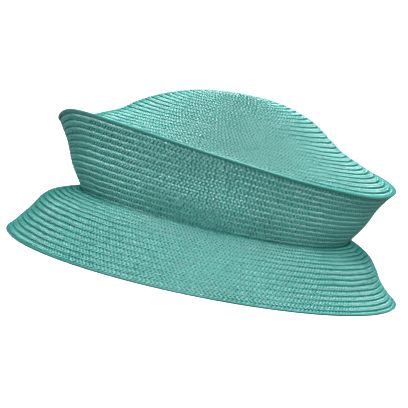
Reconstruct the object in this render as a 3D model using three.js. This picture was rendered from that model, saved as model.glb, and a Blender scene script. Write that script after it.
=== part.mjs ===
// A woven sisal hat in two pieces. The crown is a low dome inside a folded rim that stands out all round, on a
// wall that narrows down to the head line. The brim leaves the head line over a rounded shoulder, drops, and
// flares out to a folded edge. Millimetres, +Z up, +X along the long axis of the head. The origin is on the
// ground under the middle of the brim's edge.

import * as THREE from "three";

// The head line is the oval where the crown stands on the brim, measured over the straw.
const headLength = 205;
const headWidth = 171;
// The head line lies this far towards +X from the middle of the brim's edge.
const headShift = 3;

// How far the brim's edge and the crown's rim stand out past the head line, at the ends and at the sides.
const brimReachEnds = 51;
const brimReachSides = 46;
const rimReachEnds = 29;
const rimReachSides = 28.5;

// Heights, each measured from the one before.
const shoulderHeight = 40;
const grooveDepth = 3.5;
const wallHeight = 53;
const domeHeight = 45.5;

// The straw, and the clearance between the two pieces.
const strawThickness = 1.6;
const seamGap = 0.3;
// The brim's edge is turned under: two layers for this far up.
const hemDepth = 6;
const hemThickness = 2.4;
// The flat lip inside the groove, which carries the crown's foot.
const lipMargin = 1;
// The crown's rim is a pressed fold of this height with a rounded edge.
const foldHeight = 2.6;
const foldRounding = 0.9;

// The blocked shape is a little uneven.
const rimWave = 14;
const shoulderTwist = 1.3;
const brimLean = 2.2;
const domeLean = 1.1;

// Brim, from its edge in to its shoulder. Reach is a share of the brim's reach and rise one of the shoulder's
// height; twist and lean are shares of shoulderTwist and brimLean.
const brimSections = [
  { name: "edge", reach: 1, rise: 0, twist: 0, lean: 0 },
  { name: "flare", reach: 0.727, rise: 0.384, twist: 0, lean: 0.94 },
  { name: "valley", reach: 0.575, rise: 0.673, twist: 0.2, lean: 0.96 },
  { name: "slope", reach: 0.43, rise: 0.842, twist: 0.67, lean: 0.45 },
  { name: "shoulder", reach: 0.115, rise: 1, twist: 1, lean: 0.08 },
];

// Crown wall, from its foot on the head line up to the rim. Reach is a share of the rim's reach, rise one of
// the wall's height, and wave the share of the rim's wave that the wall follows there.
const wallSections = [
  { name: "foot", reach: 0, rise: 0, wave: 0 },
  { name: "lower wall", reach: 0.43, rise: 0.37, wave: 0.14 },
  { name: "upper wall", reach: 0.67, rise: 0.688, wave: 0.53 },
  { name: "rim", reach: 1, rise: 1, wave: 1 },
];

// Top of the crown, from the rim in to the tip. Length and width are shares of the rim's oval, rise is a share
// of the dome's height above the rim's mean level, and lean is a share of domeLean.
const topSections = [
  { name: "rim", length: 1, width: 1, rise: 0, wave: 1, lean: 0 },
  { name: "cove", length: 0.883, width: 0.885, rise: 0.1, wave: 0.3, lean: 0 },
  { name: "rise", length: 0.671, width: 0.7, rise: 0.347, wave: 0.1, lean: 0 },
  { name: "haunch", length: 0.583, width: 0.57, rise: 0.512, wave: 0, lean: -0.2 },
  { name: "upper dome", length: 0.44, width: 0.4, rise: 0.756, wave: 0, lean: 1 },
  { name: "crest", length: 0.235, width: 0.2, rise: 0.937, wave: 0, lean: 0.8 },
];

// Height of the rim round the crown, in shares of rimWave, by bearing in degrees from +X towards +Y.
const rimLifts = [
  { bearing: 0, lift: -0.28 },
  { bearing: 30, lift: 0.13 },
  { bearing: 60, lift: 0.62 },
  { bearing: 90, lift: -0.05 },
  { bearing: 120, lift: -0.45 },
  { bearing: 150, lift: -0.35 },
  { bearing: 180, lift: -0.17 },
  { bearing: 210, lift: 0.8 },
  { bearing: 240, lift: 0.76 },
  { bearing: 270, lift: 0.295 },
  { bearing: 300, lift: -0.24 },
  { bearing: 330, lift: -0.53 },
];

// Facets round the hat, and rows worked out between one section and the next.
const around = 72;
const rowsPerSection = 2;

const headHeight = shoulderHeight - grooveDepth;
const rimHeight = headHeight + seamGap + wallHeight;
const rimHalfLength = headLength / 2 + rimReachEnds;
const rimHalfWidth = headWidth / 2 + rimReachSides;

const straw = { roughness: 0.5, metalness: 0 };
const crownMaterial = new THREE.MeshStandardMaterial({ color: 0x63b3a8, ...straw });
const brimMaterial = new THREE.MeshStandardMaterial({ color: 0x68b8ad, ...straw });

// A smooth closed curve through the lifts gives the rim's height at any bearing.
function rimLift(angle) {
  const degrees = THREE.MathUtils.radToDeg(angle);
  const row = rimLifts.findLastIndex((entry) => entry.bearing <= degrees);
  const at = (offset) => rimLifts[(row + offset + rimLifts.length) % rimLifts.length].lift;
  const t = ((degrees - rimLifts[row].bearing) * rimLifts.length) / 360;
  const [before, start, end, after] = [at(-1), at(0), at(1), at(2)];
  const slopeIn = (end - before) / 2;
  const slopeOut = (after - start) / 2;
  const bend = 2 * (start - end) + slopeIn + slopeOut;
  const sweep = 3 * (end - start) - 2 * slopeIn - slopeOut;
  return rimWave * (((bend * t + sweep) * t + slopeIn) * t + start);
}

// A ring of points on an oval; height gives each point's Z from its angle.
function ovalRing(halfLength, halfWidth, shift, height) {
  return Array.from({ length: around }, (_, i) => {
    const angle = (2 * Math.PI * i) / around;
    return new THREE.Vector3(
      shift + halfLength * Math.cos(angle),
      halfWidth * Math.sin(angle),
      height(angle),
    );
  });
}

// Smooth rows through a list of rings, with the first and last ring kept.
function smoothRows(rings, steps) {
  const columns = Array.from({ length: around }, (_, i) => {
    const profile = new THREE.CatmullRomCurve3(rings.map((ring) => ring[i]), false, "catmullrom", 0.5);
    return profile.getPoints((rings.length - 1) * steps);
  });
  return columns[0].map((_, row) => columns.map((column) => column[row]));
}

// The outward direction of a skin at each point of a row, square to the row and to the profile through it.
function normalsOf(rows, row) {
  const before = rows[Math.max(row - 1, 0)];
  const after = rows[Math.min(row + 1, rows.length - 1)];
  return rows[row].map((_, i) => {
    const next = rows[row][(i + 1) % around];
    const previous = rows[row][(i + around - 1) % around];
    const alongRow = new THREE.Vector3().subVectors(next, previous);
    const alongProfile = new THREE.Vector3().subVectors(after[i], before[i]);
    return alongRow.cross(alongProfile).normalize();
  });
}

// A row of the skin's other face, one thickness in from a row of its outer face.
function innerRow(rows, row, thickness) {
  const normals = normalsOf(rows, row);
  return rows[row].map((point, i) => point.clone().addScaledVector(normals[i], -thickness));
}

// Slides a row's points along the profile towards the next row, until each stands at its outer point's height.
function levelWith(outer, inner, nextInner) {
  return inner.map((point, i) => {
    const along = new THREE.Vector3().subVectors(nextInner[i], point);
    return point.clone().addScaledVector(along, (outer[i].z - point.z) / along.z);
  });
}

// The inside of a fold: one thickness from both layers, on the line that halves the angle between them.
function foldInside(fold, layerBelow, layerAbove, thickness) {
  return fold.map((point, i) => {
    const down = new THREE.Vector3().subVectors(layerBelow[i], point).normalize();
    const up = new THREE.Vector3().subVectors(layerAbove[i], point).normalize();
    const middle = down.clone().add(up).normalize();
    const halfAngle = middle.angleTo(down);
    return point.clone().addScaledVector(middle, (thickness + foldHeight / 2) / Math.sin(halfAngle));
  });
}

// One closed solid from chains of rings. A ring of one point is a pole, and a chain may close on itself.
function solidFrom(chains) {
  const positions = [];
  const triangles = [];
  const known = new Map();
  const cornersOf = (ring) => {
    if (!known.has(ring)) {
      const first = positions.length / 3;
      ring.forEach((point) => positions.push(point.x, point.y, point.z));
      known.set(ring, first);
    }
    return (i) => known.get(ring) + (ring.length === 1 ? 0 : i % around);
  };
  chains.forEach((chain) => {
    for (let row = 0; row + 1 < chain.length; row += 1) {
      const lower = cornersOf(chain[row]);
      const upper = cornersOf(chain[row + 1]);
      for (let i = 0; i < around; i += 1) {
        if (chain[row].length > 1) triangles.push(lower(i), lower(i + 1), upper(i));
        if (chain[row + 1].length > 1) triangles.push(lower(i + 1), upper(i + 1), upper(i));
      }
    }
  });
  const geometry = new THREE.BufferGeometry();
  geometry.setAttribute("position", new THREE.Float32BufferAttribute(positions, 3));
  geometry.setIndex(triangles);
  geometry.computeVertexNormals();
  return geometry;
}

function brimRing(reach, height) {
  const halfLength = headLength / 2 + brimReachEnds * reach;
  const halfWidth = headWidth / 2 + brimReachSides * reach;
  return ovalRing(halfLength, halfWidth, headShift * (1 - reach) ** 2, height);
}

function headLineHeight(angle) {
  return headHeight + shoulderTwist * Math.sin(2 * angle);
}

function lipRing(inset) {
  return ovalRing(headLength / 2 - inset, headWidth / 2 - inset, headShift, headLineHeight);
}

function buildBrim() {
  const sections = brimSections.map((section) =>
    brimRing(section.reach, (angle) => {
      const twist = shoulderTwist * section.twist * Math.sin(2 * angle);
      const lean = brimLean * section.lean * Math.cos(angle);
      return shoulderHeight * section.rise + twist - lean;
    }),
  );
  const skin = smoothRows([...sections, lipRing(-lipMargin)], rowsPerSection);
  // The hem's upper end gets a row of its own.
  const hemTop = skin[0].map((point, i) => {
    const along = new THREE.Vector3().subVectors(skin[1][i], point).normalize();
    return point.clone().addScaledVector(along, hemDepth);
  });
  const outer = [skin[0], hemTop, ...skin.slice(1), lipRing(strawThickness)];
  const last = outer.length - 1;
  const under = outer.map((_, row) => innerRow(outer, row, row < 2 ? hemThickness : strawThickness));
  under[0] = levelWith(outer[0], under[0], under[1]);
  under[last] = outer[last].map((point) => point.clone().setZ(point.z - strawThickness));
  const mesh = new THREE.Mesh(solidFrom([[...outer, ...under.reverse(), outer[0]]]), brimMaterial);
  mesh.name = "brim";
  return mesh;
}

function buildCrown() {
  const wallRings = wallSections.map((section) =>
    ovalRing(
      headLength / 2 + rimReachEnds * section.reach,
      headWidth / 2 + rimReachSides * section.reach,
      headShift,
      (angle) => {
        const foot = (headLineHeight(angle) - headHeight) * (1 - section.rise);
        return headHeight + seamGap + foot + wallHeight * section.rise + rimLift(angle) * section.wave;
      },
    ),
  );
  const topRings = topSections.map((section) =>
    ovalRing(
      rimHalfLength * section.length,
      rimHalfWidth * section.width,
      headShift,
      (angle) => {
        const lean = domeLean * section.lean * Math.cos(angle);
        return rimHeight + domeHeight * section.rise + rimLift(angle) * section.wave + lean;
      },
    ),
  );
  const tip = new THREE.Vector3(headShift, 0, rimHeight + domeHeight);
  const poleRing = Array.from({ length: around }, () => tip.clone());
  const wall = smoothRows(wallRings, rowsPerSection);
  const top = smoothRows([...topRings, poleRing], rowsPerSection);
  const fold = wall.at(-1);

  // The fold's edge is rounded: a lower, a middle and an upper row.
  const halfFold = foldHeight / 2;
  const outwards = fold.map((point) => new THREE.Vector3(point.x - headShift, point.y, 0).normalize());
  const shifted = (out, up) =>
    fold.map((point, i) => point.clone().addScaledVector(outwards[i], out).setZ(point.z + up));
  const edge = [shifted(0, -halfFold), shifted(foldRounding, 0), shifted(0, halfFold)];

  const outerWall = wall.slice(0, -1);
  const outerTop = top.slice(1, -1);
  const outer = [...outerWall, ...edge, ...outerTop, [tip]];
  const innerWall = outerWall.map((_, row) => innerRow(wall, row, strawThickness));
  innerWall[0] = levelWith(outerWall[0], innerWall[0], innerWall[1]);
  const innerFold = foldInside(fold, outerWall.at(-1), outerTop[0], strawThickness);
  const innerTop = outerTop.map((_, row) => innerRow(top, row + 1, strawThickness));
  const innerTip = tip.clone().setZ(tip.z - strawThickness);
  const inner = [[innerTip], ...innerTop.reverse(), innerFold, ...innerWall.reverse(), outerWall[0]];
  const mesh = new THREE.Mesh(solidFrom([outer, inner]), crownMaterial);
  mesh.name = "crown";
  return mesh;
}

const hat = new THREE.Group();
hat.name = "sisal_hat";
hat.add(buildBrim(), buildCrown());

export default hat;
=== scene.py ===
"""A woven sisal hat, dressed stitch by stitch, on a pale floor in soft studio light.

Metres, in the frame of the CAD model: the origin is on the ground under the middle of the brim's edge, +Z is
up, +X runs along the head and -Y points to the front. The forms repeat the CAD model's named sizes. On them
lie the stitches: rows round the hat, slanted one way and then the other, each stitch leaning across itself.
"""

import logging
import math
from collections.abc import Sequence
from dataclasses import dataclass, field, replace
from enum import Enum

import bpy
import numpy as np
from mathutils import Matrix


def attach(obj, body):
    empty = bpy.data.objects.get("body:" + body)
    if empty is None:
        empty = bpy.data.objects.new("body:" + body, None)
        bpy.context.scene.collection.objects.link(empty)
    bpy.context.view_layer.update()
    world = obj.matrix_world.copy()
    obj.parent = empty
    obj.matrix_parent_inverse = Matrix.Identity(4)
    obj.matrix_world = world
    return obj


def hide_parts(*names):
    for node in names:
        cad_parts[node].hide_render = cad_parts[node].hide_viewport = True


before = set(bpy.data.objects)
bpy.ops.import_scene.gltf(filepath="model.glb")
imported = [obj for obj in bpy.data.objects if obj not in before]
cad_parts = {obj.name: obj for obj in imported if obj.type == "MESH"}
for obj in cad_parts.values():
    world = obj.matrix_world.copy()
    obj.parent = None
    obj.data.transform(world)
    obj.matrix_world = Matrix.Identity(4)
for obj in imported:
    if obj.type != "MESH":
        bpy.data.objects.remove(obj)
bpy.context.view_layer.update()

MM = 0.001
FULL_TURN = 2 * math.pi
BAKE_MAP = "OFBake"
SEED = 4414
FLOOR_GAP = 0.05 * MM
LINING_GAP = 0.2 * MM
INNER_SINK = 0.25 * MM
INNER_RIDGE = 0.3 * MM
# Tint of every shell: painted shade that darkens the straw seen in the gaps between the stitches. The edge
# bands, built as shells, take the same darker tone.
PAINTED_GAP_SHADE = -0.8

LOG = logging.getLogger("sisal_hat")

Colour = tuple[float, float, float]


class Socket:
    """An output socket that can be used in sums, so that shader maths reads as an expression."""

    def __init__(self, tree: "ShaderTree", output: bpy.types.NodeSocket) -> None:
        """Wraps an output.

        Args:
            tree: The tree that the socket belongs to.
            output: The node's output socket.
        """
        self.tree = tree
        self.output = output

    def _math(self, operation: str, first: "Socket | float", second: "Socket | float") -> "Socket":
        """One Math node.

        Args:
            operation: The node's operation.
            first: Its first operand.
            second: Its second operand.

        Returns:
            The node's result.
        """
        return self.tree.node("ShaderNodeMath", {"operation": operation}, {0: first, 1: second})

    def __add__(self, other: "Socket | float") -> "Socket":
        """The sum."""
        return self._math("ADD", self, other)

    def __radd__(self, other: float) -> "Socket":
        """The sum, with the number first."""
        return self._math("ADD", other, self)

    def __sub__(self, other: "Socket | float") -> "Socket":
        """The difference."""
        return self._math("SUBTRACT", self, other)

    def __mul__(self, other: "Socket | float") -> "Socket":
        """The product."""
        return self._math("MULTIPLY", self, other)

    def __rmul__(self, other: float) -> "Socket":
        """The product, with the number first."""
        return self._math("MULTIPLY", other, self)

    def scaled(self, factors: Sequence[float]) -> "Socket":
        """This vector with each component multiplied by its factor."""
        settings = {"operation": "MULTIPLY"}
        return self.tree.node("ShaderNodeVectorMath", settings, {0: self, 1: tuple(factors)})


class ShaderTree:
    """The node tree of a material or of the world."""

    def __init__(self, tree: bpy.types.NodeTree) -> None:
        """Empties the tree.

        Args:
            tree: The node tree to fill.
        """
        self.tree = tree
        tree.nodes.clear()

    def node(
        self,
        kind: str,
        settings: dict[str, object],
        inputs: dict[int | str, object],
        output: int | str = 0,
    ) -> Socket:
        """Adds a node, with its settings set first.

        Args:
            kind: The node's type.
            settings: Values of the node's own settings.
            inputs: A value or a socket for each input, by its number, name or identifier.
            output: The wanted output, by its number or identifier.

        Returns:
            The wanted output.
        """
        node = self.tree.nodes.new(kind)
        for key, value in settings.items():
            setattr(node, key, value)
        for key, value in inputs.items():
            socket = self._find(node.inputs, key)
            if isinstance(value, Socket):
                self.tree.links.new(value.output, socket)
            else:
                socket.default_value = value
        return Socket(self, self._find(node.outputs, output)) if len(node.outputs) else Socket(self, None)

    @staticmethod
    def _find(sockets: Sequence[bpy.types.NodeSocket], key: int | str) -> bpy.types.NodeSocket:
        """Finds a socket.

        Args:
            sockets: A node's inputs or outputs.
            key: The socket's number, identifier or name.

        Returns:
            The socket.
        """
        if isinstance(key, int):
            return sockets[key]
        return next(one for one in sockets if key in (one.identifier, one.name))

    def mixed(self, share: Socket, first: Colour, second: Colour) -> Socket:
        """A colour between two.

        Args:
            share: 0 for the first colour and 1 for the second.
            first: The first colour, linear.
            second: The second colour, linear.

        Returns:
            The mixed colour.
        """
        inputs = {"Factor_Float": share, "A_Color": (*first, 1.0), "B_Color": (*second, 1.0)}
        return self.node("ShaderNodeMix", {"data_type": "RGBA"}, inputs, "Result_Color")

    def noise(self, vector: Socket, scale: float, detail: float) -> Socket:
        """Noise around 0.5 at a vector.

        Args:
            vector: Where the noise is read.
            scale: Its scale.
            detail: Its number of octaves.

        Returns:
            The noise value.
        """
        inputs = {"Vector": vector, "Scale": scale, "Detail": detail}
        return self.node("ShaderNodeTexNoise", {}, inputs, "Fac")

    def attribute(self, name: str, output: str) -> Socket:
        """A mesh attribute: output is "Fac" or "Vector"."""
        return self.node("ShaderNodeAttribute", {"attribute_name": name}, {}, output)


@dataclass(frozen=True)
class StrawFinish:
    """Dyed sisal: bundles of fine glossy fibres that run along each stitch.

    Attributes:
        name: The material's name.
        deep: Colour of the darkest fibres, linear.
        pale: Colour of the palest fibres, linear.
        roughness: Mean roughness.
        gloss: Level of the specular reflection.
        relief: Depth of the furrows between the fibres, in metres.
        index: Index of refraction.
        shares: How much stitch, fibre and patch count in the colour, and what is added.
        rough_shares: How much fibre and stitch count in the roughness.
    """

    name: str
    deep: Colour
    pale: Colour
    roughness: float
    gloss: float
    relief: float
    index: float = 1.7
    shares: tuple[float, float, float, float] = (0.3, 0.5, 0.4, -0.1)
    rough_shares: tuple[float, float] = (0.16, 0.06)

    def material(self) -> bpy.types.Material:
        """The material, made from its nodes."""
        material = bpy.data.materials.new(self.name)
        material.use_nodes = True
        tree = ShaderTree(material.node_tree)
        along = tree.attribute("fibre", "Vector")
        fibres = tree.noise(along.scaled((3.2, 0.4, 1.0)), 1.0, 0.0)
        # The tint is each stitch's own random tone; on the shells it is the painted shade of the gaps.
        tint = tree.attribute("tint", "Fac")
        place = tree.node("ShaderNodeTexCoord", {}, {}, "Object")
        patches = tree.noise(place, 24.0, 2.0)
        of_tint, of_fibres, of_patches, added = self.shares
        shade = of_tint * tint + of_fibres * fibres + of_patches * patches + added
        rough_fibres, rough_tint = self.rough_shares
        normal = tree.node(
            "ShaderNodeBump",
            {},
            {"Height": fibres, "Strength": 1.0, "Distance": self.relief, "Filter Width": 0.05},
        )
        shader = tree.node(
            "ShaderNodeBsdfPrincipled",
            {},
            {
                "Base Color": tree.mixed(shade, self.deep, self.pale),
                "Roughness": self.roughness + rough_fibres * (fibres - 0.5) + rough_tint * (tint - 0.5),
                "IOR": self.index,
                "Specular IOR Level": self.gloss,
                "Normal": normal,
            },
        )
        tree.node("ShaderNodeOutputMaterial", {}, {"Surface": shader})
        return material


@dataclass(frozen=True)
class FloorFinish:
    """A pale matt floor, whose own light grows away from the hat until the floor is white.

    Attributes:
        name: The material's name.
        colour: Its colour, linear.
        shade: The colour that it throws back at the hat, as if flagged off with darker cards.
        glow: Strength of its own light beside the hat.
        far_glow: Strength of its own light far away.
        bounce_glow: Strength of the light that it sends to the hat.
        reach: Distances from the hat's middle where the light starts to grow and stops.
    """

    name: str
    colour: Colour
    shade: Colour
    glow: float
    far_glow: float = 1.1
    bounce_glow: float = 0.01
    reach: tuple[float, float] = (0.2, 0.9)

    def material(self) -> bpy.types.Material:
        """The material, made from its nodes."""
        material = bpy.data.materials.new(self.name)
        material.use_nodes = True
        tree = ShaderTree(material.node_tree)
        place = tree.node("ShaderNodeTexCoord", {}, {}, "Object")
        way = tree.node("ShaderNodeVectorMath", {"operation": "LENGTH"}, {0: place}, "Value")
        start, stop = self.reach
        span = {"Value": way, "From Min": start, "From Max": stop}
        far = tree.node("ShaderNodeMapRange", {"clamp": True}, span)
        light = tree.mixed(far, (self.glow,) * 3, (self.far_glow,) * 3)
        low_light = (*(self.bounce_glow,) * 3, 1.0)
        bounce, view = (
            tree.node(
                "ShaderNodeBsdfPrincipled",
                {},
                {
                    "Base Color": (*colour, 1.0),
                    "Roughness": 0.9,
                    "Specular IOR Level": 0.2,
                    "Emission Color": glow,
                    "Emission Strength": 1.0,
                },
            )
            for colour, glow in ((self.shade, low_light), (self.colour, light))
        )
        seen = tree.node("ShaderNodeLightPath", {}, {}, "Is Camera Ray")
        shader = tree.node("ShaderNodeMixShader", {}, {0: seen, 1: bounce, 2: view})
        tree.node("ShaderNodeOutputMaterial", {}, {"Surface": shader})
        return material


@dataclass(frozen=True)
class Ring:
    """One oval of a form, and how its height changes round the hat.

    Attributes:
        half_length: Half its length along X.
        half_width: Half its width along Y.
        height: Its mean height.
        shift: X of its middle.
        twist: Height added by the sine of twice the bearing.
        lean: Height added by the cosine of the bearing.
        wave: Share of the rim's lift that is added.
    """

    half_length: float
    half_width: float
    height: float
    shift: float
    twist: float = 0.0
    lean: float = 0.0
    wave: float = 0.0

    def values(self) -> list[float]:
        """The ring's values as a row of numbers."""
        size = [self.half_length, self.half_width, self.shift]
        return [*size, self.height, self.twist, self.lean, self.wave]


def catmull(rows: np.ndarray, at: np.ndarray) -> np.ndarray:
    """A smooth curve through rows of numbers.

    Args:
        rows: The rows, one for each knot.
        at: Places along the curve, from 0 to the number of rows less one.

    Returns:
        A row for each place.
    """
    padded = np.vstack([2 * rows[0] - rows[1], rows, 2 * rows[-1] - rows[-2]])
    knot = np.clip(np.floor(at).astype(int), 0, len(rows) - 2)
    t = (at - knot)[..., None]
    p0, p1, p2, p3 = (padded[knot + step] for step in range(4))
    linear = (p2 - p0) * t
    square = (2 * p0 - 5 * p1 + 4 * p2 - p3) * t**2
    cube = (3 * p1 - p0 - 3 * p2 + p3) * t**3
    return p1 + 0.5 * (linear + square + cube)


@dataclass(frozen=True)
class HatForm:
    """The blocked shape of the hat, with the same named sizes as the CAD model."""

    head_length: float = 205 * MM
    head_width: float = 171 * MM
    head_shift: float = 3 * MM
    brim_reach_ends: float = 51 * MM
    brim_reach_sides: float = 46 * MM
    rim_reach_ends: float = 29 * MM
    rim_reach_sides: float = 28.5 * MM
    shoulder_height: float = 40 * MM
    groove_depth: float = 3.5 * MM
    wall_height: float = 53 * MM
    dome_height: float = 45.5 * MM
    straw_thickness: float = 1.6 * MM
    seam_gap: float = 0.3 * MM
    hem_depth: float = 6 * MM
    hem_thickness: float = 2.4 * MM
    lip_margin: float = 1 * MM
    fold_height: float = 2.6 * MM
    fold_rounding: float = 0.9 * MM
    rim_wave: float = 14 * MM
    shoulder_twist: float = 1.3 * MM
    brim_lean: float = 2.2 * MM
    dome_lean: float = 1.1 * MM
    # Height of the rim at every 30 degrees of bearing from +X towards +Y, in shares of rim_wave.
    rim_lifts: tuple[float, ...] = (
        -0.28, 0.13, 0.62, -0.05, -0.45, -0.35, -0.17, 0.8, 0.76, 0.295, -0.24, -0.53,
    )
    # Edge, flare, valley, slope and shoulder: reach, rise, twist and lean.
    brim_sections: tuple[tuple[float, ...], ...] = (
        (1, 0, 0, 0),
        (0.727, 0.384, 0, 0.94),
        (0.575, 0.673, 0.2, 0.96),
        (0.43, 0.842, 0.67, 0.45),
        (0.115, 1, 1, 0.08),
    )
    # Foot, lower wall, upper wall and rim: reach, rise and wave.
    wall_sections: tuple[tuple[float, ...], ...] = (
        (0, 0, 0),
        (0.43, 0.37, 0.14),
        (0.67, 0.688, 0.53),
        (1, 1, 1),
    )
    # Rim, cove, rise, haunch, upper dome and crest: length, width, rise, wave and lean.
    top_sections: tuple[tuple[float, ...], ...] = (
        (1, 1, 0, 1, 0),
        (0.883, 0.885, 0.1, 0.3, 0),
        (0.671, 0.7, 0.347, 0.1, 0),
        (0.583, 0.57, 0.512, 0, -0.2),
        (0.44, 0.4, 0.756, 0, 1),
        (0.235, 0.2, 0.937, 0, 0.8),
        (0, 0, 1, 0, 0),
    )

    @property
    def head_height(self) -> float:
        """Mean height of the head line."""
        return self.shoulder_height - self.groove_depth

    @property
    def rim_height(self) -> float:
        """Mean height of the rim."""
        return self.head_height + self.seam_gap + self.wall_height

    def lift(self, angle: np.ndarray) -> np.ndarray:
        """Height of the rim over its mean.

        Args:
            angle: Bearings in radians.

        Returns:
            A height for each bearing.
        """
        lifts = np.array(self.rim_lifts)
        count = len(lifts)
        place = np.mod(angle, FULL_TURN) * count / FULL_TURN
        row = np.floor(place).astype(int)
        t = place - row
        before, start, end, after = (lifts[(row + step) % count] for step in (-1, 0, 1, 2))
        slope_in, slope_out = (end - before) / 2, (after - start) / 2
        bend = 2 * (start - end) + slope_in + slope_out
        sweep = 3 * (end - start) - 2 * slope_in - slope_out
        return self.rim_wave * (((bend * t + sweep) * t + slope_in) * t + start)

    def brim_rings(self) -> list[Ring]:
        """The brim's ovals, from its edge to the lip in the groove."""
        rings = [
            Ring(
                half_length=self.head_length / 2 + self.brim_reach_ends * reach,
                half_width=self.head_width / 2 + self.brim_reach_sides * reach,
                height=self.shoulder_height * rise,
                shift=self.head_shift * (1 - reach) ** 2,
                twist=self.shoulder_twist * twist,
                lean=-self.brim_lean * lean,
            )
            for reach, rise, twist, lean in self.brim_sections
        ]
        lip = Ring(
            half_length=self.head_length / 2 + self.lip_margin,
            half_width=self.head_width / 2 + self.lip_margin,
            height=self.head_height,
            shift=self.head_shift,
            twist=self.shoulder_twist,
        )
        return [*rings, lip]

    def wall_rings(self) -> list[Ring]:
        """The crown wall's ovals, from its foot to the rim."""
        return [
            Ring(
                half_length=self.head_length / 2 + self.rim_reach_ends * reach,
                half_width=self.head_width / 2 + self.rim_reach_sides * reach,
                height=self.head_height + self.seam_gap + self.wall_height * rise,
                shift=self.head_shift,
                twist=self.shoulder_twist * (1 - rise),
                wave=wave,
            )
            for reach, rise, wave in self.wall_sections
        ]

    def top_rings(self) -> list[Ring]:
        """The ovals of the crown's top, from the rim to the tip."""
        return [
            Ring(
                half_length=(self.head_length / 2 + self.rim_reach_ends) * length,
                half_width=(self.head_width / 2 + self.rim_reach_sides) * width,
                height=self.rim_height + self.dome_height * rise,
                shift=self.head_shift,
                lean=self.dome_lean * lean,
                wave=wave,
            )
            for length, width, rise, wave, lean in self.top_sections
        ]

    def points(self, rings: Sequence[Ring], at: np.ndarray, angle: np.ndarray) -> np.ndarray:
        """Points on the form through a list of rings.

        Args:
            rings: The form's rings.
            at: Places between the first ring, 0, and the last.
            angle: Bearings in radians, in an array that goes with the places.

        Returns:
            A point for each pair.
        """
        rows = catmull(np.array([ring.values() for ring in rings]), at)
        half_length, half_width, shift, height, twist, lean, wave = np.moveaxis(rows, -1, 0)
        x = shift + half_length * np.cos(angle)
        y = half_width * np.sin(angle)
        z = height + twist * np.sin(2 * angle) + lean * np.cos(angle) + wave * self.lift(angle)
        return np.stack([x, y, z], axis=-1)


class Skin:
    """A smooth skin: points on a grid of turns round the hat and shares of the way along its profile."""

    TURNS = 360
    SHARES = 160

    def __init__(self, points: np.ndarray) -> None:
        """Spreads the points evenly along each profile and works out the outward normals.

        Args:
            points: Points by turn and by place along the profile. The turns start at +X and go towards +Y.
        """
        self.points = self._evened(points)
        along_turn = np.roll(self.points, -1, axis=0) - np.roll(self.points, 1, axis=0)
        along_profile = np.gradient(self.points, axis=1)
        normals = np.cross(along_turn, along_profile)
        self.normals = normals / np.maximum(np.linalg.norm(normals, axis=-1, keepdims=True), 1e-12)
        self.lengths = np.linalg.norm(np.diff(self.points, axis=1), axis=-1).sum(axis=1)

    @classmethod
    def from_rings(cls, form: HatForm, rings: Sequence[Ring]) -> "Skin":
        """A skin over a form's rings.

        Args:
            form: The hat's form.
            rings: The rings, first to last.

        Returns:
            The skin.
        """
        angle = np.arange(cls.TURNS) * FULL_TURN / cls.TURNS
        at = np.linspace(0, len(rings) - 1, cls.SHARES * 2)
        return cls(form.points(rings, *np.broadcast_arrays(at[None, :], angle[:, None])))

    @classmethod
    def through(cls, knots: Sequence[np.ndarray]) -> "Skin":
        """A narrow skin that runs smoothly through rows of points.

        Args:
            knots: Points by turn, a row for each step from one side of the skin to the other.

        Returns:
            The skin.
        """
        rows = np.stack(knots)
        at = np.linspace(0, len(rows) - 1, cls.SHARES // 2)
        smooth = catmull(rows.reshape(len(rows), -1), at).reshape(len(at), -1, 3)
        return cls(np.moveaxis(smooth, 0, 1))

    @classmethod
    def _evened(cls, points: np.ndarray) -> np.ndarray:
        """Moves points along each profile so that they are evenly spaced.

        Args:
            points: Points by turn and by place along the profile.

        Returns:
            As many points on each profile as the skin has shares.
        """
        steps = np.linalg.norm(np.diff(points, axis=1), axis=-1)
        covered = np.concatenate([np.zeros((len(points), 1)), np.cumsum(steps, axis=1)], axis=1)
        even = np.linspace(0, 1, cls.SHARES)
        return np.array(
            [
                np.stack([np.interp(even * way[-1], way, line[:, axis]) for axis in range(3)], axis=-1)
                for way, line in zip(covered, points)
            ]
        )

    def at(self, turn: np.ndarray, share: np.ndarray) -> tuple[np.ndarray, np.ndarray]:
        """Points and normals of the skin.

        Args:
            turn: Turns round the hat, where 1 is once round.
            share: Shares of the way along the profile, from 0 to 1.

        Returns:
            The points and the unit normals.
        """
        row = np.mod(turn, 1.0) * self.TURNS
        column = np.clip(share, 0.0, 1.0) * (self.SHARES - 1)
        i = np.floor(row).astype(int) % self.TURNS
        j = np.minimum(np.floor(column).astype(int), self.SHARES - 2)
        s, t = (row - np.floor(row))[..., None], (column - j)[..., None]
        k = (i + 1) % self.TURNS

        def between(grid: np.ndarray) -> np.ndarray:
            """Bilinear value of a grid."""
            first = grid[i, j] * (1 - t) + grid[i, j + 1] * t
            second = grid[k, j] * (1 - t) + grid[k, j + 1] * t
            return first * (1 - s) + second * s

        normal = between(self.normals)
        return between(self.points), normal / np.linalg.norm(normal, axis=-1, keepdims=True)

    def rings(self, shares: Sequence[float], around: int, depth: float) -> np.ndarray:
        """Rows of points under the skin.

        Args:
            shares: The share of each row.
            around: Points in a row.
            depth: How far they lie under the skin.

        Returns:
            Points by row and by turn.
        """
        turn = np.arange(around) / around
        points, normals = self.at(*np.broadcast_arrays(turn[None, :], np.array(shares)[:, None]))
        return points - depth * normals


def outward(points: np.ndarray, middle: float = 0.0) -> np.ndarray:
    """Level unit vectors that point away from an upright line.

    Args:
        points: Where the vectors are wanted, one point to a row.
        middle: X of the line.

    Returns:
        A vector for each point.
    """
    out = points - np.array([middle, 0.0, 0.0])
    out[:, 2] = 0.0
    return out / np.linalg.norm(out, axis=-1, keepdims=True)


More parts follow.
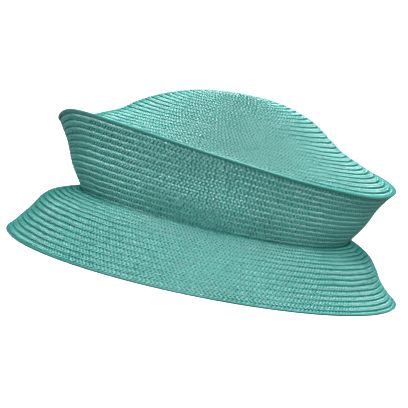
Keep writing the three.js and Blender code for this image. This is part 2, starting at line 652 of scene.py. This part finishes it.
def mesh_object(name: str, points: np.ndarray, quads: np.ndarray) -> bpy.types.Object:
    """A smooth mesh object from arrays.

    Args:
        name: The object's name.
        points: Its points, one to a row.
        quads: Its faces, four corners to a row.

    Returns:
        The object, linked to the scene.
    """
    mesh = bpy.data.meshes.new(name)
    mesh.vertices.add(len(points))
    mesh.vertices.foreach_set("co", points.astype(np.float32).ravel())
    mesh.loops.add(quads.size)
    mesh.loops.foreach_set("vertex_index", quads.astype(np.int32).ravel())
    mesh.polygons.add(len(quads))
    mesh.polygons.foreach_set("loop_start", np.arange(0, quads.size, 4, dtype=np.int32))
    mesh.polygons.foreach_set("use_smooth", np.ones(len(quads), dtype=bool))
    mesh.update(calc_edges=True)
    thing = bpy.data.objects.new(name, mesh)
    bpy.context.scene.collection.objects.link(thing)
    return thing


def set_bake_map(mesh: bpy.types.Mesh, coordinates: np.ndarray) -> None:
    """Gives a mesh its bake map.

    Args:
        mesh: The mesh.
        coordinates: A pair of coordinates for each corner of each face.
    """
    layer = mesh.uv_layers.new(name=BAKE_MAP)
    layer.data.foreach_set("uv", coordinates.astype(np.float32).ravel())


def set_attribute(mesh: bpy.types.Mesh, name: str, kind: str, values: np.ndarray) -> None:
    """Adds an attribute of the points.

    Args:
        mesh: The mesh.
        name: The attribute's name.
        kind: "FLOAT" or "FLOAT_VECTOR".
        values: A value for each point.
    """
    key = "value" if kind == "FLOAT" else "vector"
    mesh.attributes.new(name, kind, "POINT").data.foreach_set(key, values.astype(np.float32).ravel())


class Side(Enum):
    """The side of the straw that stitches lie on."""

    OUTSIDE = 1
    INSIDE = -1


@dataclass(frozen=True)
class StitchShape:
    """The shape of one stitch: a bundle of fibres that rises, arches over its neighbours and tucks under.

    Attributes:
        angles: Degrees from the top of the bundle, for each point across it.
        steps: Shares of the way from the stitch's start to its end, for each point along it.
        girth: Share of the full girth at each step.
        height: Height of the bundle in shares of its half width.
        fullness: Width in shares of the room between two stitches.
    """

    angles: tuple[float, ...]
    steps: tuple[float, ...]
    girth: tuple[float, ...]
    height: float
    fullness: float


OUTER_STITCH = StitchShape(
    angles=(-88.0, -42.0, 0.0, 42.0, 88.0),
    steps=(-0.04, 0.26, 0.74, 1.04),
    girth=(0.38, 1.0, 1.0, 0.38),
    height=0.8,
    fullness=0.94,
)
INNER_STITCH = StitchShape(
    angles=(-76.0, 0.0, 76.0),
    steps=(-0.1, 0.5, 1.1),
    girth=(0.55, 1.0, 0.55),
    height=0.55,
    fullness=1.1,
)


@dataclass(frozen=True)
class RowPlan:
    """One row of stitches.

    Attributes:
        start: Share of the profile where the row starts.
        end: Share of the profile where it ends.
        count: Stitches in the row.
        rising: True if the stitches climb with the bearing, False if they climb against it.
        phase: Turn of the first stitch.
    """

    start: float
    end: float
    count: int
    rising: bool
    phase: float


@dataclass(frozen=True)
class Unevenness:
    """How far handwork strays from its plan, as standard deviations of the random draws.

    Attributes:
        start: Of a stitch's start, in shares of its length.
        reach: Of its run round the hat, as a share of it.
        place: Of its place, in shares of the room between two stitches.
        width: Of its width, as a share of it.
        height: Of its height, as a share of it.
        depth: Of its depth, in metres.
    """

    start: float = 0.03
    reach: float = 0.06
    place: float = 0.03
    width: float = 0.05
    height: float = 0.08
    depth: float = 0.035 * MM


@dataclass
class Weave:
    """Stitches in rows over a skin.

    Attributes:
        skin: The skin that they lie on.
        plans: The rows.
        shape: The shape of each stitch.
        side: The side of the straw.
        depth: How far under the skin their middle lines start and end, before the tuck.
        ridge: How much higher the middle of a stitch is.
        slant: Run of a stitch round the hat, in shares of the room between two stitches.
        wobble: How far the rows wander up and down.
        tuck: How far the ends of a stitch dip.
        tilt: Slope of each stitch across itself, so that one of its long sides stands proud.
        uneven: How far the stitches stray from their plan.
        seed: Seed of the random draws.
        wander: The waves in which the rows wander, which build() draws.
    """

    skin: Skin
    plans: list[RowPlan]
    shape: StitchShape
    side: Side = Side.OUTSIDE
    depth: float = 0.62 * MM
    ridge: float = 0.12 * MM
    slant: float = 1.05
    wobble: float = 0.12 * MM
    tuck: float = 0.45 * MM
    tilt: float = 0.58
    uneven: Unevenness = Unevenness()
    seed: int = SEED
    wander: dict[str, np.ndarray] = field(default_factory=dict)

    def _row_shift(self, turn: np.ndarray, share: np.ndarray) -> np.ndarray:
        """How far the rows wander: long waves that change slowly up the profile.

        Args:
            turn: Turns round the hat.
            share: Shares of the way along the profile.

        Returns:
            A length in metres for each place.
        """
        shift = np.zeros_like(turn)
        for waves, climb, phase, size in zip(*self.wander.values()):
            shift = shift + size * np.sin(FULL_TURN * (waves * turn + climb * share + phase))
        return shift * self.wobble

    def build(self, name: str) -> bpy.types.Object:
        """Makes the stitches as one joined mesh.

        Args:
            name: The piece's name.

        Returns:
            The mesh object.
        """
        rng = np.random.default_rng(self.seed)
        self.wander = {
            "waves": rng.integers(10, 34, 6).astype(float),
            "climb": rng.uniform(-3.0, 3.0, 6),
            "phase": rng.uniform(0.0, 1.0, 6),
            "size": rng.uniform(0.3, 0.6, 6),
        }
        columns = [self._row(plan) for plan in self.plans]
        turn, run, start, rise, room = (np.concatenate(part) for part in zip(*columns))
        count = len(turn)
        shape, uneven = self.shape, self.uneven
        steps = np.array(shape.steps)[None, :] + rng.normal(0.0, uneven.start, (count, 1))
        lean = 1.0 + rng.normal(0.0, uneven.reach, (count, 1))
        stray = room[:, None] * rng.normal(0.0, uneven.place, (count, 1))
        turns = turn[:, None] + run[:, None] * steps * lean + stray
        shares = start[:, None] + rise[:, None] * steps
        length = self.skin.lengths.mean()
        shares = shares + self._row_shift(turns, shares) / length
        points, normals = self.skin.at(turns, shares)
        normals = normals * self.side.value
        tangents = np.gradient(points, axis=1)
        tangents = tangents / np.linalg.norm(tangents, axis=-1, keepdims=True)
        sides = np.cross(tangents, normals)
        sides = sides / np.linalg.norm(sides, axis=-1, keepdims=True)
        neighbour, _ = self.skin.at(turns + room[:, None], shares)
        gap = np.abs(np.sum((neighbour - points) * sides, axis=-1)).mean(axis=1)
        half = gap * shape.fullness / 2 * (1.0 + rng.normal(0.0, uneven.width, count))
        bulk = half * shape.height * (1.0 + rng.normal(0.0, uneven.height, count))
        lift = self.ridge * np.sin(math.pi * np.clip(steps, 0.0, 1.0)) - self.depth
        ends = np.zeros(len(shape.steps))
        ends[[0, -1]] = 1.0
        lift = lift - self.tuck * ends[None, :]
        lift = lift + rng.normal(0.0, uneven.depth, (count, 1))
        angles = np.radians(shape.angles)
        girth = np.array(shape.girth)
        across = np.einsum("n,k,m->nkm", half, girth, np.sin(angles))
        up = np.einsum("n,k,m->nkm", bulk, girth, np.cos(angles)) + lift[:, :, None]
        up = up + self.tilt * self.side.value * np.sign(run)[:, None, None] * across
        body = points[:, :, None] + across[..., None] * sides[:, :, None]
        body = body + up[..., None] * normals[:, :, None]
        thing = self._mesh(name, body)
        along = np.linalg.norm(points[:, -1] - points[:, 0], axis=-1)
        fibre = np.stack(
            [
                across / MM,
                np.broadcast_to((steps * along[:, None])[:, :, None] / MM, across.shape),
                np.broadcast_to(rng.uniform(0.0, 100.0, count)[:, None, None], across.shape),
            ],
            axis=-1,
        )
        tint = np.broadcast_to(rng.uniform(0.0, 1.0, count)[:, None, None], across.shape)
        set_attribute(thing.data, "fibre", "FLOAT_VECTOR", fibre)
        set_attribute(thing.data, "tint", "FLOAT", tint)
        return thing

    def _row(self, plan: RowPlan) -> tuple[np.ndarray, ...]:
        """The stitches of a row, as arrays.

        Args:
            plan: The row.

        Returns:
            Turn of the start, run round the hat, share of the start, rise and room for each stitch.
        """
        turn = (np.arange(plan.count) + 0.5) / plan.count + plan.phase
        reach = self.slant / plan.count
        first = turn - reach / 2 if plan.rising else turn + reach / 2
        one = np.ones(plan.count)
        return (
            first,
            one * (reach if plan.rising else -reach),
            one * plan.start,
            one * (plan.end - plan.start),
            one / plan.count,
        )

    @staticmethod
    def _mesh(name: str, body: np.ndarray) -> bpy.types.Object:
        """A mesh of many small grids, each with its own island in the bake map.

        Args:
            name: The piece's name.
            body: Points by stitch, by step along and by point across.

        Returns:
            The mesh object.
        """
        count, along, across, _ = body.shape
        k, m = np.meshgrid(np.arange(along - 1), np.arange(across - 1), indexing="ij")
        corner = (k * across + m).ravel()
        quad = np.stack([corner, corner + 1, corner + across + 1, corner + across], axis=-1)
        quads = quad[None] + (np.arange(count) * along * across)[:, None, None]
        thing = mesh_object(name, body.reshape(-1, 3), quads.reshape(-1, 4))
        grid = math.ceil(math.sqrt(count))
        place = np.stack([np.arange(count) % grid, np.arange(count) // grid], axis=-1)
        local = np.stack([quad % across / (across - 1), quad // across / (along - 1)], axis=-1)
        coordinates = (place[:, None, None] + 0.1 + 0.8 * local[None]) / grid
        set_bake_map(thing.data, coordinates)
        return thing


@dataclass
class Shell:
    """The straw under the stitches: a closed solid from a chain of rings, with a darker tint that is painted
    shade for the gaps between the stitches.

    Attributes:
        chain: Points by row and by turn. The last row joins the first.
    """

    chain: np.ndarray

    def build(self, name: str) -> bpy.types.Object:
        """Makes the shell's mesh.

        Args:
            name: The piece's name.

        Returns:
            The mesh object.
        """
        rows, around, _ = self.chain.shape
        row, turn = np.meshgrid(np.arange(rows), np.arange(around), indexing="ij")
        row, turn = row.ravel(), turn.ravel()
        above, beside = (row + 1) % rows, (turn + 1) % around
        quads = np.stack(
            [row * around + turn, row * around + beside, above * around + beside, above * around + turn],
            axis=-1,
        )
        thing = mesh_object(name, self.chain.reshape(-1, 3), quads)
        right, top = (turn + 1) / around, (row + 1) / rows
        left, low = turn / around, row / rows
        corners = [np.stack(pair, axis=-1) for pair in ((left, low), (right, low), (right, top), (left, top))]
        set_bake_map(thing.data, np.stack(corners, axis=1))
        ways = np.concatenate([[0.0], np.cumsum(np.linalg.norm(np.diff(self.chain[:, 0], axis=0), axis=-1))])
        girth = np.linalg.norm(self.chain - np.roll(self.chain, 1, axis=1), axis=-1).sum(axis=1)
        fibre = np.stack(
            [
                np.broadcast_to(ways[:, None] / MM, (rows, around)),
                np.arange(around)[None, :] / around * girth[:, None] / MM,
                np.zeros((rows, around)),
            ],
            axis=-1,
        )
        set_attribute(thing.data, "fibre", "FLOAT_VECTOR", fibre)
        # Painted shade: a low tint darkens the shell where it shows between the stitches.
        set_attribute(thing.data, "tint", "FLOAT", np.full((rows, around), PAINTED_GAP_SHADE))
        return thing


@dataclass
class EdgeBand:
    """A narrow band of fibres laid along an edge, with fine ridges that run with it.

    Attributes:
        skin: The narrow skin that the band follows.
        ridges: Number of ridges across it.
        relief: How far the ridges stand off the skin.
        inside: How far the band's back lies under the skin.
        around: Points round the hat.
        across: Rows of points across the band's front.
        back_step: Rows of the front to each row of the back.
    """

    skin: Skin
    ridges: int = 3
    relief: float = 0.3 * MM
    inside: float = 0.5 * MM
    around: int = 480
    across: int = 19
    back_step: int = 3

    def build(self, name: str) -> bpy.types.Object:
        """Makes the band.

        Args:
            name: The piece's name.

        Returns:
            The mesh object.
        """
        turn = np.arange(self.around) / self.around
        share = np.linspace(0.0, 1.0, self.across)
        points, normals = self.skin.at(*np.broadcast_arrays(turn[None, :], share[:, None]))
        swell = self.relief * np.abs(np.sin(math.pi * self.ridges * share))
        front = points + swell[:, None, None] * normals
        back = (points - self.inside * normals)[::-1][1 : -1 : self.back_step]
        return Shell(np.concatenate([front, back])).build(name)


def dress(piece: bpy.types.Object, material: bpy.types.Material) -> None:
    """Gives a piece its material and its body, and logs its triangles.

    Args:
        piece: The mesh object.
        material: Its material.
    """
    piece.data.materials.append(material)
    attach(piece, "root")
    piece.data.calc_loop_triangles()
    LOG.info("%s: %d triangles", piece.name, len(piece.data.loop_triangles))


def paired_rows(first: float, last: float, rows: int, count: int) -> list[RowPlan]:
    """Evenly spaced rows of equal count.

    Args:
        first: Share of the profile where the first row starts.
        last: Share where the last row ends.
        rows: Number of rows.
        count: Stitches in each.

    Returns:
        The rows.
    """
    edges = np.linspace(first, last, rows + 1)
    return [
        RowPlan(start=edges[row], end=edges[row + 1], count=count, rising=row % 2 == 0, phase=0.0)
        for row in range(rows)
    ]


def inner_weave(form: HatForm, skin: Skin, plans: list[RowPlan]) -> Weave:
    """The stitches on the inner side of the straw.

    Args:
        form: The hat's form.
        skin: The outer skin.
        plans: The rows.

    Returns:
        The weave, not built yet.
    """
    depth = INNER_SINK - form.straw_thickness
    return Weave(skin, plans, INNER_STITCH, side=Side.INSIDE, depth=depth, ridge=INNER_RIDGE)


@dataclass
class Brim:
    """The brim: its straw, the stitches outside and inside, and its edge.

    Attributes:
        form: The hat's form.
        rows: Rows of stitches outside.
        columns: Stitches in a row.
        span: Shares of the profile where the outer stitches start and end.
        inner_span: The same for the inner stitches.
        around: Points of the straw round the hat.
        under: How far the straw's outer side lies under the stitches' skin.
        lip_drop: How far the lip lies under the head line.
        edge_top: Share of the profile where the edge's band ends.
        edge_wrap: The band's rows under the edge: shares of the hem's thickness inwards, and heights.
        skin: The brim's outer skin.
    """

    form: HatForm
    rows: int = 30
    columns: int = 300
    span: tuple[float, float] = (0.03, 0.975)
    inner_span: tuple[float, float] = (0.1, 0.93)
    around: int = 216
    under: float = 1.35 * MM
    lip_drop: float = 0.1 * MM
    edge_top: float = 0.035
    edge_wrap: tuple[tuple[float, float], ...] = ((0.8, 1.05 * MM), (0.4, 0.9 * MM), (0.0, 1.0 * MM))
    skin: Skin = field(init=False)

    def __post_init__(self) -> None:
        """Makes the skin."""
        self.skin = Skin.from_rings(self.form, self.form.brim_rings())

    def shell(self) -> bpy.types.Object:
        """Makes the straw, with its hem turned under and its lip in the groove.

        Returns:
            The mesh object.
        """
        form = self.form
        hem = form.hem_depth / self.skin.lengths.mean()
        shares = np.concatenate([np.linspace(0, hem, 4), np.linspace(hem * 1.3, 1, 40)])
        outer = self.skin.rings(shares, self.around, self.under)
        shares = shares[::-1]
        inner = self.skin.rings(shares, self.around, form.straw_thickness - LINING_GAP)
        turned = shares <= hem * 1.01
        inner[turned] = self.skin.rings(shares[turned], self.around, form.hem_thickness - LINING_GAP)
        for rings in (outer, inner):
            rings[..., 2] = np.maximum(rings[..., 2], FLOOR_GAP)
        angle = np.arange(self.around) * FULL_TURN / self.around
        inset = form.straw_thickness
        x = form.head_shift + (form.head_length / 2 - inset) * np.cos(angle)
        y = (form.head_width / 2 - inset) * np.sin(angle)
        height = form.head_height + form.shoulder_twist * np.sin(2 * angle)
        lip = np.stack([x, y, height - self.lip_drop], axis=-1)
        lip_under = lip - np.array([0.0, 0.0, form.straw_thickness])
        return Shell(np.concatenate([outer, lip[None], lip_under[None], inner])).build("brim_straw")

    def edge_skin(self) -> Skin:
        """Makes a narrow skin that wraps round the brim's edge, from inside the hem to the outside.

        Returns:
            The skin.
        """
        turn = np.arange(Skin.TURNS) / Skin.TURNS
        edge, _ = self.skin.at(turn, np.zeros(Skin.TURNS))
        above, _ = self.skin.at(turn, np.full(Skin.TURNS, self.edge_top))
        inward = -outward(edge) * self.form.hem_thickness
        up = np.array([0.0, 0.0, 1.0])
        knots = [edge + inward * share + up * height for share, height in self.edge_wrap]
        return Skin.through([*knots, above])

    def build(self, straw: bpy.types.Material, edging: bpy.types.Material) -> None:
        """Makes and dresses all the brim's pieces.

        Args:
            straw: The straw's material.
            edging: The edge's material.
        """
        shell = self.shell()
        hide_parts("brim")
        dress(shell, straw)
        plans = paired_rows(*self.span, self.rows, self.columns)
        half = self.rows // 2
        for name, part in (("brim_weave_lower", plans[:half]), ("brim_weave_upper", plans[half:])):
            dress(Weave(self.skin, part, OUTER_STITCH).build(name), straw)
        dress(EdgeBand(self.edge_skin(), ridges=2).build("brim_edge"), edging)
        inside = inner_weave(self.form, self.skin, paired_rows(*self.inner_span, self.rows - 4, self.columns))
        dress(inside.build("brim_weave_inside"), straw)


@dataclass
class Crown:
    """The crown: its straw, the stitches of its wall and its top, and the fold of its rim.

    Attributes:
        form: The hat's form.
        wall_rows: Rows of stitches on the wall.
        wall_columns: Stitches in a row of the wall.
        wall_span: Shares of the wall where its outer stitches start and end.
        wall_inner_span: The same for its inner stitches.
        top_rows: Rows of stitches on the top.
        top_span: Shares of the top where its stitches start and end.
        top_split: The row where the top's second piece starts.
        top_tilt: The tilt of the top's outer stitches.
        top_pitch: Room for a stitch of the top, which sets the number in a row.
        stagger: Shift from a pair of rows to the next, in stitches.
        around: Points of the straw round the hat.
        under: How far the straw's outer side lies under the stitches' skin.
        fold_span: Share of the wall where the fold starts, and share of the top where it ends.
        fold_bulge: How far the fold stands out, as a share of its rounding.
        fold_slack: How much nearer the fold's middle its two sides lie.
        centre: The weave's centre.
        wall: The wall's outer skin.
        top: The top's outer skin.
    """

    form: HatForm
    wall_rows: int = 26
    wall_columns: int = 276
    wall_span: tuple[float, float] = (0.0, 0.965)
    wall_inner_span: tuple[float, float] = (0.03, 0.93)
    top_rows: int = 54
    top_span: tuple[float, float] = (0.014, 0.985)
    top_split: int = 20
    top_tilt: float = 0.72
    top_pitch: float = 2.45 * MM
    stagger: float = 0.618
    around: int = 216
    under: float = 1.35 * MM
    fold_span: tuple[float, float] = (0.972, 0.018)
    fold_bulge: float = 0.8
    fold_slack: float = 0.6 * MM
    centre: tuple[float, float] = (3 * MM, 0.0)
    wall: Skin = field(init=False)
    top: Skin = field(init=False)

    def __post_init__(self) -> None:
        """Makes the skins."""
        self.wall = Skin.from_rings(self.form, self.form.wall_rings())
        self.top = Skin(self._top_points())

    def _top_points(self) -> np.ndarray:
        """Works out the top's rings, which shrink from the rim to the weave's centre.

        Returns:
            Points by turn and by share.
        """
        form = self.form
        rings = form.top_rings()
        angle = np.arange(Skin.TURNS) * FULL_TURN / Skin.TURNS
        rim = form.points(rings, np.zeros_like(angle), angle)[:, None, :2]
        centre = np.array(self.centre)
        size = np.linspace(1.0, 0.0, Skin.SHARES * 2)[None, :, None]
        plan = centre + size * (rim - centre)
        rows = np.array([ring.values() for ring in rings])
        low, high = np.zeros(plan.shape[:2]), np.full(plan.shape[:2], len(rings) - 1.0)
        for _ in range(40):
            middle = (low + high) / 2
            half_length, half_width = np.moveaxis(catmull(rows, middle)[..., :2], -1, 0)
            outside = np.hypot(
                (plan[..., 0] - form.head_shift) / np.maximum(half_length, 1e-9),
                plan[..., 1] / np.maximum(half_width, 1e-9),
            )
            inner = outside < 1.0
            low, high = np.where(inner, middle, low), np.where(inner, high, middle)
        at = (low + high) / 2
        values = catmull(rows, at)
        bearing = np.arctan2(
            plan[..., 1] / np.maximum(values[..., 1], 1e-9),
            (plan[..., 0] - form.head_shift) / np.maximum(values[..., 0], 1e-9),
        )
        height = values[..., 3] + values[..., 5] * np.cos(bearing) + values[..., 6] * form.lift(bearing)
        return np.concatenate([plan, height[..., None]], axis=-1)

    def shell(self) -> bpy.types.Object:
        """Makes the straw, in one piece from the foot over the rim to the tip, and back inside.

        Returns:
            The mesh object.
        """
        inner = self.form.straw_thickness - LINING_GAP
        wall = self.wall.rings(np.linspace(0, 0.985, 40), self.around, self.under)
        top = self.top.rings(np.linspace(0.01, 0.999, 56), self.around, self.under)
        inner_top = self.top.rings(np.linspace(0.999, 0.045, 54), self.around, inner)
        inner_wall = self.wall.rings(np.linspace(0.93, 0, 38), self.around, inner)
        wall[0, :, 2] = self._foot_height()
        inner_wall[-1, :, 2] = self._foot_height()
        return Shell(np.concatenate([wall, top, inner_top, inner_wall])).build("crown_straw")

    def _foot_height(self) -> np.ndarray:
        """Height of the crown's foot round the hat."""
        angle = np.arange(self.around) * FULL_TURN / self.around
        return self.form.head_height + self.form.seam_gap + self.form.shoulder_twist * np.sin(2 * angle)

    def rim_skin(self) -> Skin:
        """Makes a narrow skin that wraps over the rim's fold, from the wall to the top.

        Returns:
            The skin.
        """
        turn = np.arange(Skin.TURNS) / Skin.TURNS
        start, end = self.fold_span
        low, _ = self.wall.at(turn, np.full(Skin.TURNS, start))
        fold, _ = self.wall.at(turn, np.ones(Skin.TURNS))
        high, _ = self.top.at(turn, np.full(Skin.TURNS, end))
        out = outward(fold, self.form.head_shift) * self.form.fold_rounding * self.fold_bulge
        half = np.array([0.0, 0.0, self.form.fold_height / 2 - self.fold_slack])
        return Skin.through([low, fold - half, fold + out, fold + half, high])

    def top_plans(self) -> list[RowPlan]:
        """Plans the top's rows, whose count falls in bands towards the centre as the rings shrink.

        Returns:
            The rows, from the rim inwards.
        """
        edges = np.linspace(*self.top_span, self.top_rows + 1)
        plans: list[RowPlan] = []
        count = 0
        for row in range(self.top_rows):
            ring, _ = self.top.at(np.arange(90) / 90, np.full(90, (edges[row] + edges[row + 1]) / 2))
            girth = np.linalg.norm(ring - np.roll(ring, 1, axis=0), axis=-1).sum()
            if row % 2 == 0 and (count == 0 or girth / count < 0.9 * self.top_pitch):
                count = max(6, round(girth / (self.top_pitch * 1.12)))
            phase = row // 2 * self.stagger / count
            plans.append(RowPlan(edges[row], edges[row + 1], count, row % 2 == 0, phase))
        return plans

    def build(self, straw: bpy.types.Material, edging: bpy.types.Material) -> None:
        """Makes and dresses all the crown's pieces.

        Args:
            straw: The straw's material.
            edging: The fold's material.
        """
        shell = self.shell()
        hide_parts("crown")
        dress(shell, straw)
        dress(EdgeBand(self.rim_skin()).build("crown_rim_fold"), edging)
        top = self.top_plans()
        wall = paired_rows(*self.wall_span, self.wall_rows, self.wall_columns)
        lining = paired_rows(*self.wall_inner_span, self.wall_rows - 2, self.wall_columns)
        split, tilt = self.top_split, self.top_tilt
        weaves = {
            "crown_wall_weave": Weave(self.wall, wall, OUTER_STITCH),
            "crown_top_weave_outer": Weave(self.top, top[:split], OUTER_STITCH, tilt=tilt),
            "crown_top_weave_inner": Weave(self.top, top[split:], OUTER_STITCH, tilt=tilt),
            "crown_wall_weave_inside": inner_weave(self.form, self.wall, lining),
            "crown_top_weave_inside": inner_weave(self.form, self.top, top[3:]),
        }
        for name, weave in weaves.items():
            dress(weave.build(name), straw)


@dataclass(frozen=True)
class SoftBox:
    """An area light that looks at the hat.

    Attributes:
        name: The light's name.
        azimuth: Degrees round the hat from the front, towards the right.
        elevation: Degrees over the floor.
        power: Watts.
        size: Width and height in metres.
        distance: Metres from the hat.
    """

    name: str
    azimuth: float
    elevation: float
    power: float
    size: float = 0.6
    distance: float = 1.6

    def build(self, target: np.ndarray) -> None:
        """Makes the light.

        Args:
            target: The point that it looks at.
        """
        data = bpy.data.lights.new(self.name, "AREA")
        data.shape = "RECTANGLE"
        data.size = data.size_y = self.size
        data.energy = self.power
        light = bpy.data.objects.new(self.name, data)
        azimuth, elevation = math.radians(self.azimuth), math.radians(self.elevation)
        level = np.array([math.sin(azimuth), -math.cos(azimuth), 0.0])
        back = level * math.cos(elevation) + np.array([0.0, 0.0, math.sin(elevation)])
        right = np.cross([0.0, 0.0, 1.0], back)
        right = right / np.linalg.norm(right)
        light.matrix_world = placed(right, np.cross(back, right), back, target + back * self.distance)
        bpy.context.scene.collection.objects.link(light)


def placed(right: np.ndarray, up: np.ndarray, back: np.ndarray, at: np.ndarray) -> Matrix:
    """Puts an object's axes and place into a matrix.

    Args:
        right: Its X axis.
        up: Its Y axis.
        back: Its Z axis.
        at: Its place.

    Returns:
        The matrix.
    """
    rows = np.eye(4)
    rows[:3, 0], rows[:3, 1], rows[:3, 2], rows[:3, 3] = right, up, back, at
    return Matrix(rows.tolist())


@dataclass(frozen=True)
class PhotoCamera:
    """The photograph's camera: metres and radians, with the lens and the sensor in millimetres."""

    distance: float = 0.88731
    height: float = 0.15759
    azimuth: float = 0.0508
    yaw: float = 0.0076
    pitch: float = 0.1251
    roll: float = 0.1957
    lens: float = 101.84
    sensor: float = 36.0

    def build(self) -> None:
        """Makes the camera and gives it to the scene."""
        at = np.array(
            [self.distance * math.sin(self.azimuth), -self.distance * math.cos(self.azimuth), self.height]
        )
        turn = self.azimuth + self.yaw
        forward = np.array(
            [
                -math.sin(turn) * math.cos(self.pitch),
                math.cos(turn) * math.cos(self.pitch),
                -math.sin(self.pitch),
            ]
        )
        level = np.array([math.cos(turn), math.sin(turn), 0.0])
        upright = np.cross(level, forward)
        right = math.cos(self.roll) * level + math.sin(self.roll) * upright
        up = -math.sin(self.roll) * level + math.cos(self.roll) * upright
        data = bpy.data.cameras.new("photo_camera")
        data.lens = self.lens
        data.sensor_width = self.sensor
        data.clip_start, data.clip_end = 0.01, 50.0
        camera = bpy.data.objects.new("photo_camera", data)
        camera.matrix_world = placed(right, up, -forward, at)
        bpy.context.scene.collection.objects.link(camera)
        bpy.context.scene.camera = camera


@dataclass
class Studio:
    """The floor, the lights and the world.

    Attributes:
        floor_reach: Half the floor's side.
        floor_tiles: Faces of the floor along a side.
        floor_glow: Strength of the floor's own light beside the hat.
        ambient: Strength of the world's light.
        backdrop: Strength of the world where the camera looks past the floor.
        aim: Height of the point that the lights look at.
        lights: The area lights.
    """

    floor_reach: float = 8.0
    floor_tiles: int = 24
    floor_glow: float = 0.55
    ambient: float = 0.01
    backdrop: float = 1.2
    aim: float = 0.06
    lights: tuple[SoftBox, ...] = (
        SoftBox("front_box", azimuth=0.0, elevation=22.0, power=12.0),
        SoftBox("high_box", azimuth=-8.0, elevation=62.0, power=11.0, size=0.5),
        SoftBox("left_box", azimuth=-42.0, elevation=34.0, power=13.0),
        SoftBox("right_box", azimuth=46.0, elevation=38.0, power=13.5),
        SoftBox("back_box", azimuth=152.0, elevation=71.0, power=24.5),
    )

    def build(self) -> None:
        """Makes the floor, the lights and the world."""
        self._floor()
        for light in self.lights:
            light.build(np.array([0.0, 0.0, self.aim]))
        self._world()
        bpy.context.scene.view_settings.view_transform = "Standard"

    def _floor(self) -> None:
        """A flat pale floor."""
        tiles = self.floor_tiles
        side = np.linspace(-self.floor_reach, self.floor_reach, tiles + 1)
        x, y = np.meshgrid(side, side, indexing="ij")
        points = np.stack([x, y, np.zeros_like(x)], axis=-1).reshape(-1, 3)
        row, column = np.meshgrid(np.arange(tiles), np.arange(tiles), indexing="ij")
        first = (row * (tiles + 1) + column).ravel()
        quads = np.stack([first, first + tiles + 1, first + tiles + 2, first + 1], axis=-1)
        floor = mesh_object("floor", points, quads)
        finish = FloorFinish("pale_floor", (0.93, 0.93, 0.93), (0.2, 0.2, 0.2), self.floor_glow)
        floor.data.materials.append(finish.material())

    def _world(self) -> None:
        """Faint light from all round, and a white backdrop where the camera looks past the floor."""
        world = bpy.data.worlds.new("studio")
        bpy.context.scene.world = world
        world.use_nodes = True
        tree = ShaderTree(world.node_tree)
        seen = tree.node("ShaderNodeLightPath", {}, {}, "Is Camera Ray")
        strength = self.ambient + (self.backdrop - self.ambient) * seen
        background = tree.node(
            "ShaderNodeBackground", {}, {"Color": (1.0, 1.0, 1.0, 1.0), "Strength": strength}
        )
        tree.node("ShaderNodeOutputWorld", {}, {"Surface": background})


def main() -> None:
    """Builds the hat, its studio and its camera."""
    logging.basicConfig(level=logging.INFO, format="%(name)s: %(message)s")
    form = HatForm()
    stitched = StrawFinish(
        name="turquoise_sisal",
        deep=(0.018, 0.21, 0.182),
        pale=(0.075, 0.44, 0.388),
        roughness=0.33,
        gloss=1.0,
        relief=0.2 * MM,
    )
    folded = replace(stitched, name="turquoise_edging", roughness=0.55, gloss=0.45)
    straw, edging = stitched.material(), folded.material()
    Brim(form).build(straw, edging)
    Crown(form).build(straw, edging)
    Studio().build()
    PhotoCamera().build()


if __name__ == "__main__":
    main()
